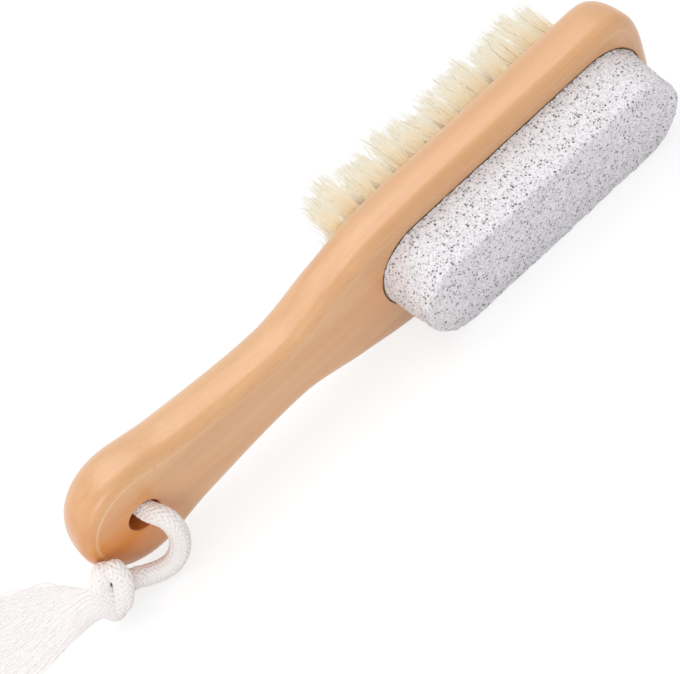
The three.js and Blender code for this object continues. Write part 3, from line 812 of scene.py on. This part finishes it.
class FOOTFILE_OT_stage(bpy.types.Operator):
    """Makes the camera, the floor and the light"""

    bl_idname = "foot_file.stage"
    bl_label = "Stage"

    def execute(self, context):
        look = context.scene.foot_file.stage
        bpy.ops.object.select_all(action="DESELECT")
        bpy.ops.object.camera_add()
        camera = context.object
        camera.name = "photo_camera"
        turned = Matrix((CAMERA_RIGHT, CAMERA_UP, CAMERA_BACK)).transposed().to_4x4()
        camera.matrix_world = Matrix.Translation(CAMERA_PLACE) @ turned
        camera.data.lens, camera.data.sensor_width = CAMERA_LENS, 36
        camera.data.clip_start, camera.data.clip_end = 0.01, 50
        context.scene.camera = camera
        bpy.ops.mesh.primitive_circle_add(
            vertices=96, radius=FLOOR_RADIUS, fill_type="NGON", location=(0, 0, 0))
        floor = context.object
        floor.name = "studio_floor"
        bpy.ops.object.mode_set(mode="EDIT")
        bpy.ops.mesh.inset(thickness=FLOOR_MARGIN)
        bpy.ops.object.mode_set(mode="OBJECT")
        floor.data.materials.append(studio_paper(look))
        self.hang_lamp("key_lamp", KEY_PLACE, KEY_SIZE, look.key)
        self.hang_lamp("fill_lamp", FILL_PLACE, FILL_SIZE, look.fill)
        self.light_room(context, look)
        context.scene.view_settings.view_transform = "Standard"
        return {"FINISHED"}

    @staticmethod
    def hang_lamp(name, place, size, power):
        """A round soft lamp that faces the tool and stays out of the picture."""
        bpy.ops.object.light_add(type="AREA", location=place)
        lamp = bpy.context.object
        lamp.name = name
        lamp.data.shape, lamp.data.size, lamp.data.energy = "DISK", size, power
        lamp.rotation_euler = (-lamp.location).to_track_quat("-Z", "Y").to_euler()
        lamp.visible_camera = False

    @staticmethod
    def light_room(context, look):
        """A pale room: even light for the tool, plain white to the camera."""
        room = bpy.data.worlds.new("pale_room")
        room.use_nodes = True
        tree = room.node_tree
        tree.nodes.clear()
        strength = add_node(tree, "MapRange", {
            "Value": seen_plainly(tree), "To Min": look.sky, "To Max": 1.0})
        sky = add_node(tree, "Background", {
            "Color": (1, 1, 1, 1), "Strength": strength})
        add_node(tree, "OutputWorld", {"Surface": sky})
        context.scene.world = room


class FOOTFILE_OT_cord(bpy.types.Operator):
    """Braids the cord through the hanging hole"""

    bl_idname = "foot_file.cord"
    bl_label = "Cord"

    def execute(self, context):
        look = context.scene.foot_file.cord
        line = cord_line()
        half = np.full(len(line), look.diameter / 2)
        loop = braid("braided_cord", line, carried_normals(line), look, half, half)
        fixed(loop, braided_cotton(look), "cord", "cotton", "cord_loop")
        return {"FINISHED"}


class FOOTFILE_OT_knot(bpy.types.Operator):
    """Ties the cord's two ends in a knot"""

    bl_idname = "foot_file.knot"
    bl_label = "Knot"

    def execute(self, context):
        look = context.scene.foot_file.cord
        heart = BORE + Vector(KNOT_CENTRE) * MM
        turned = Matrix.Rotation(KNOT_TURN, 3, "Z") @ Matrix.Rotation(KNOT_LEAN, 3, "Y")
        core, back, top = (np.array(turned.col[k]) for k in range(3))
        out_back = look.knot_width / 2 - KNOT_STRAND_HALF_HEIGHT
        out_top = look.knot_height / 2 - KNOT_STRAND_HALF_HEIGHT
        angle, along, share = np.array(KNOT_ROUTE).T
        angle = np.radians(angle)
        places = np.outer(along * MM, core) - np.outer(out_back * share * np.sin(angle), back)
        places = places + np.outer(out_top * share * np.cos(angle), top) + np.array(heart)
        line = smooth_line(places)
        spoke = line - np.array(heart)
        spoke = spoke - np.outer(spoke @ core, core)
        tangent = unit(np.gradient(line, axis=0))
        spoke = unit(spoke - np.sum(spoke * tangent, axis=1, keepdims=True) * tangent)
        knot = braid("tied_knot", line, spoke, look, np.full(len(line), KNOT_STRAND_HALF_WIDTH),
                     np.full(len(line), KNOT_STRAND_HALF_HEIGHT))
        fixed(knot, braided_cotton(look), "cord", "cotton", "cord_knot")
        return {"FINISHED"}


class FOOTFILE_OT_tassel(bpy.types.Operator):
    bl_idname = "foot_file.tassel"
    bl_label = "Tassel"

    def execute(self, context):
        look = context.scene.foot_file.cord
        draw = np.random.default_rng(41)
        count = look.yarns
        neck = np.array(BORE + Vector(TASSEL_NECK) * MM)
        along = np.array((-math.sin(TASSEL_TURN), math.cos(TASSEL_TURN), 0))
        across = np.array((math.cos(TASSEL_TURN), math.sin(TASSEL_TURN), 0))
        side = draw.uniform(-1, 1, (count, 1))
        high = draw.uniform(-1, 1, (count, 1)) * np.sqrt(1 - side ** 2)
        reach = draw.uniform(*TASSEL_REACH, (count, 1))
        radius = draw.uniform(*TASSEL_RADIUS, (count, 1)) * MM
        share = np.linspace(-TASSEL_HIDDEN, 1, TASSEL_STEPS) * reach
        down = np.clip(share, 0, 1)
        width = look.neck_width + (look.end_width - look.neck_width) * np.sin(down * math.pi / 2)
        height = look.neck_height + (look.end_height - look.neck_height) * down
        lift = look.neck_lift + (look.end_lift - look.neck_lift) * down
        free = np.clip(share / TASSEL_BOUND, 0, 1)
        run = share * look.tassel_length
        waves = 2 * math.pi * run / (draw.uniform(*TASSEL_WAVE, (count, 1)) * MM)
        sway = TASSEL_SWAY * MM * free * np.sin(waves + draw.uniform(0, FULL_TURN, (count, 1)))
        start = draw.uniform(0, FULL_TURN, (count, 1))
        curl = TASSEL_CURL * MM * free * np.cos(waves * TASSEL_CURL_PACE + start)
        drift = draw.normal(0, TASSEL_DRIFT, (count, 1)) * MM * free ** 2
        lateral = side * (width / 2 - radius) + sway + drift
        level = lift + height / 2 + high * (height / 2 - radius) + curl
        paths = neck + run[..., None] * along + lateral[..., None] * across
        paths[..., 2] = np.maximum(level, radius + FLOOR_CLEARANCE)
        taper = np.linspace(1, TASSEL_TAPER, TASSEL_STEPS) * radius
        upward = np.broadcast_to((0.0, 0.0, 1.0), paths.shape)
        points, faces = tubes(paths, upward, taper, taper, TASSEL_SIDES)
        tassel = mesh_piece("frayed_tassel", points, faces)
        painted(tassel.data, "yarn_lay", yarn_lay(run, radius[..., None], TASSEL_SIDES), "FLOAT_VECTOR")
        painted(tassel.data, "yarn_shade", np.zeros(len(points)))
        fixed(tassel, braided_cotton(look), "cord", "cotton", "cord_tassel")
        # Loose white fibres let so much light through that they hardly shade each other
        tassel.visible_shadow = tassel.visible_diffuse = False
        line = cord_line()
        return {"FINISHED"}


class FOOTFILE_OT_board(bpy.types.Operator):
    """Shapes the wooden board with its hanging hole, stone seat and tuft holes"""

    bl_idname = "foot_file.board"
    bl_label = "Board"

    def execute(self, context):
        look = context.scene.foot_file.board
        stone = context.scene.foot_file.pumice
        front, back = -look.thickness / 2, look.thickness / 2
        outline = board_outline(look)
        rings = [(front, drawn_in(outline, look.front_edge + FRONT_FACE_RING))]
        for turn in np.linspace(0, math.pi / 2, FRONT_STEPS + 1):
            rings.append((front + look.front_edge * (1 - math.cos(turn)),
                          drawn_in(outline, look.front_edge * (1 - math.sin(turn)))))
        depth = look.thickness - look.front_edge
        head_x = TOOL_LENGTH - CAP_LENGTH - HEAD_LENGTH
        near = np.clip((outline[:, 0] - head_x) / (TOOL_LENGTH - head_x), 0, 1)
        round_width = look.back_edge + (look.head_back_edge - look.back_edge) * near * near * (3 - 2 * near)
        for turn in np.linspace(0, math.pi / 2, BACK_STEPS + 1)[1:]:
            kept = round(math.cos(turn), 9) ** (2 / look.back_power)
            rings.append((front + look.front_edge + depth * math.sin(turn) ** (2 / look.back_power),
                          drawn_in(outline, round_width * (1 - kept))))
        rings.append((back, drawn_in(outline, round_width + BACK_FACE_RING)))
        board = stacked("lacquered_board", rings)
        cut(board, self.hole_cutter(look, front, back))
        seat = stone_outline(stone, -SEAT_GAP)
        cut(board, stacked("seat_cutter", [(front - CUT_OVERSHOOT, seat), (front + SEAT_DEPTH, seat)]))
        x, z = tuft_places()[0][0]
        drill = circle(x, z, TUFT_HOLE_RADIUS, DRILL_STEPS)
        drills = stacked("tuft_drill", [(back - TUFT_HOLE_DEPTH, drill), (back + CUT_OVERSHOOT, drill)])
        arrayed(drills, TUFTS_PER_ROW, (TUFT_PITCH, 0, 0))
        arrayed(drills, TUFT_ROWS, (0, 0, ROW_PITCH))
        cut(board, drills)
        bpy.ops.object.shade_smooth_by_angle(angle=SHARP_EDGE)
        self.paint_grain_and_highlight(board, look, front, outline)
        set_down(board, lacquered_beech(look), "brush", "lacquered_wood", "handle_board")
        return {"FINISHED"}

    @staticmethod
    def paint_grain_and_highlight(board, look, front, outline):
        """Marks the end grain, the drilled wall and a painted highlight line along the front edge."""
        spots = vectors_of(board.data.vertices, "co")
        slant = np.abs(vectors_of(board.data.vertex_normals, "vector")[:, 0])
        # The more a face turns to the ends, the more lacquer it takes up, to half cover
        painted(board.data, "end_grain", 0.5 * np.clip((slant - 0.35) / 0.6, 0, 1) ** 1.5)
        away = np.hypot(spots[:, 0] - BORE_X, spots[:, 2])
        painted(board.data, "bore", (away < look.hole / 2 + 2 * TOUCH) & (spots[:, 1] > front + TOUCH))
        edge = drawn_in(outline, look.front_edge)
        apart = np.min(np.hypot(spots[:, None, 0] - edge[:, 0], spots[:, None, 2] - edge[:, 1]), axis=1)
        line = (apart < TOUCH) & (spots[:, 1] < front + TOUCH)
        # The painted highlight line is plainest at the butt and only a trace beyond 40 mm
        painted(board.data, "edge_highlight", line * np.clip(0.65 - spots[:, 0] / (80 * MM), 0.15, 0.5))

    @staticmethod
    def hole_cutter(look, front, back):
        """A drill for the hanging hole that flares at both mouths."""
        flare = []
        for turn in np.radians([0, 16, 32, 48, 64, 80]):
            flare.append((look.hole_round * (1 - math.sin(turn)),
                          look.hole / 2 + look.hole_round * (1 - math.cos(turn))))
        flare.append((-1 * MM, look.hole / 2 + look.hole_round * 1.3))
        rings = [(front + y, circle(BORE_X, 0, r, HOLE_STEPS)) for y, r in reversed(flare)]
        rings += [(back - y, circle(BORE_X, 0, r, HOLE_STEPS)) for y, r in flare]
        return stacked("hole_cutter", rings)


class FOOTFILE_OT_pumice(bpy.types.Operator):
    """Shapes the pumice block and opens its pores"""

    bl_idname = "foot_file.pumice"
    bl_label = "Pumice"

    def execute(self, context):
        look = context.scene.foot_file.pumice
        board = context.scene.foot_file.board
        face, front = -board.thickness / 2 - look.height, -board.thickness / 2
        rings = []
        for turn in np.linspace(0, math.pi / 2, RIM_STEPS + 1):
            rings.append((face + look.rim * (1 - math.cos(turn)),
                          stone_outline(look, look.draft + look.rim * (1 - math.sin(turn)))))
        rings += [(front, stone_outline(look, 0)), (front + SEAT_GAP, stone_outline(look, 0))]
        block = stacked("pumice_block", rings)
        block.data.remesh_voxel_size = look.grain
        bpy.ops.object.voxel_remesh()
        self.roughen(block, "stone_swell", 4.5 * MM, 0.8 * MM)
        self.roughen(block, "stone_grit", 1.3 * MM, 0.45 * MM)
        bpy.ops.object.shade_smooth()
        set_down(block, ground_pumice(look), "brush", "pumice", "pumice_stone")
        return {"FINISHED"}

    @staticmethod
    def roughen(block, name, spacing, height):
        """Lifts and sinks the block's surface by clouds of the given spacing and height."""
        clouds = bpy.data.textures.new(name, "CLOUDS")
        clouds.noise_scale, clouds.noise_depth = spacing, 2
        bpy.ops.object.modifier_add(type="DISPLACE")
        step = block.modifiers[-1]
        step.texture, step.texture_coords, step.strength, step.mid_level = clouds, "LOCAL", height, 0.75
        bpy.ops.object.modifier_apply(modifier=step.name)


class FOOTFILE_OT_bristles(bpy.types.Operator):
    """Sets the rows of bristle tufts"""

    bl_idname = "foot_file.bristles"
    bl_label = "Bristles"

    def execute(self, context):
        look = context.scene.foot_file.bristle
        back = context.scene.foot_file.board.thickness / 2
        finish = boar_bristle(look)
        for row, tufts in enumerate(tuft_places()):
            draw = np.random.default_rng(100 + row)
            paths = np.concatenate([self.tuft(look, back, x, z, draw) for x, z in tufts])
            hairs = len(paths)
            share = np.linspace(0, 1, HAIR_STEPS)
            thick = look.root_radius + (look.tip_radius - look.root_radius) * share
            thick = thick * draw.uniform(*HAIR_THICKNESS, (hairs, 1))
            upward = np.broadcast_to((0.0, 0.0, 1.0), paths.shape)
            points, faces = tubes(paths, upward, thick, thick, HAIR_SIDES)
            piece = mesh_piece(f"bristle_tufts_{row + 1}", points, faces)
            painted(piece.data, "hair_height", np.tile(np.repeat(share, HAIR_SIDES), hairs))
            dark = draw.random(hairs) < DARK_SHARE
            tone = np.where(dark, draw.uniform(*DARK_TONES, hairs), draw.uniform(*PALE_TONES, hairs))
            # A deeper tone at the roots stands in for the shade inside the brush, less at the rows' ends
            deep = INNER_ROOT_SHADE if 0 < row < TUFT_ROWS - 1 else OUTER_ROOT_SHADE
            place = np.repeat(np.arange(TUFTS_PER_ROW), look.count)
            inside = 0.5 + np.minimum(place, TUFTS_PER_ROW - 1 - place)
            deep = deep * np.clip(inside / OPEN_END_TUFTS, 0, 1)
            tone = tone[:, None] + np.outer(deep, np.clip(1 - share / ROOT_SHADE_REACH, 0, 1))
            painted(piece.data, "hair_tone_and_shade", np.repeat(np.clip(tone, 0, 1), HAIR_SIDES))
            set_down(piece, finish, "brush", "bristle", f"bristle_row_{row + 1}")
            # Thin pale hairs let so much light through that they hardly shade each other
            piece.visible_shadow = piece.visible_diffuse = False
        return {"FINISHED"}

    @staticmethod
    def tuft(look, back, x, z, draw):
        """Paths of one tuft's hairs: packed at the root, spread and trimmed at the tips."""
        count = look.count
        number = np.arange(count)
        radius = BUNDLE_RADIUS * np.sqrt((number + 0.5) / count)
        turn = number * GOLDEN_ANGLE + draw.uniform(0, FULL_TURN)
        off = np.column_stack([np.cos(turn), np.sin(turn)]) * radius[:, None]
        rise = look.length + draw.normal(0, TUFT_RISE) * MM + draw.normal(0, HAIR_RISE, count) * MM
        spread = draw.normal(*HAIR_SPREAD, (count, 1))
        stray = draw.normal(0, HAIR_STRAY, (count, 2)) * MM
        stray[draw.random(count) < WILD_SHARE] *= WILD_STRAY
        aside = off * spread + stray + draw.normal(0, TUFT_TILT, 2) * MM
        root = np.column_stack([x + off[:, 0], np.full(count, back - ROOT_DEPTH), z + off[:, 1]])
        tip = np.column_stack([root[:, 0] + aside[:, 0], back + rise, root[:, 2] + aside[:, 1]])
        bow = np.zeros((count, 3))
        for axis in (0, 2):
            bow[:, axis] = draw.normal(0, HAIR_BOW, count) * MM
        share = np.linspace(0, 1, HAIR_STEPS)[None, :, None]
        return root[:, None] + (tip - root)[:, None] * share + bow[:, None] * 4 * share * (1 - share)


class FOOTFILE_OT_fittings(bpy.types.Operator):
    """Finishes the parts inside the board: the glue under the pumice and the tufts' wire anchors"""

    bl_idname = "foot_file.fittings"
    bl_label = "Inner fittings"

    def execute(self, context):
        glue, brass = set_glue(), drawn_brass()
        for name, node in frame["nodes"].items():
            if name == "stone_glue_layer" or name.startswith("tuft_anchor_"):
                node.data.materials.clear()
                node.data.materials.append(glue if name == "stone_glue_layer" else brass)
        return {"FINISHED"}


class FOOTFILE_PT_panel(bpy.types.Panel):
    """Lists the steps and what a user may change"""

    bl_idname = "FOOTFILE_PT_panel"
    bl_label = "Foot file"
    bl_space_type = "VIEW_3D"
    bl_region_type = "UI"
    bl_category = "Foot file"

    def draw(self, context):
        for step in STEPS:
            self.layout.operator(step.bl_idname)
        for group in ("stage", "cord", "board", "pumice", "bristle"):
            values = getattr(context.scene.foot_file, group)
            box = self.layout.box()
            box.label(text=group.capitalize())
            for name in values.__annotations__:
                box.prop(values, name)


STEPS = (FOOTFILE_OT_stage, FOOTFILE_OT_cord, FOOTFILE_OT_knot, FOOTFILE_OT_tassel, FOOTFILE_OT_board,
         FOOTFILE_OT_pumice, FOOTFILE_OT_bristles, FOOTFILE_OT_fittings)
CLASSES = (BoardLook, PumiceLook, BristleLook, CordLook, StageLook, FootFile, *STEPS, FOOTFILE_PT_panel)


def register():
    for item in CLASSES:
        bpy.utils.register_class(item)
    bpy.types.Scene.foot_file = PointerProperty(type=FootFile)


def unregister():
    del bpy.types.Scene.foot_file
    for item in reversed(CLASSES):
        bpy.utils.unregister_class(item)


def main():
    register()
    bpy.ops.foot_file.stage()
    bpy.ops.foot_file.cord()
    bpy.ops.foot_file.knot()
    bpy.ops.foot_file.tassel()
    bpy.ops.foot_file.board()
    bpy.ops.foot_file.pumice()
    bpy.ops.foot_file.bristles()
    bpy.ops.foot_file.fittings()


if __name__ == "__main__":
    main()
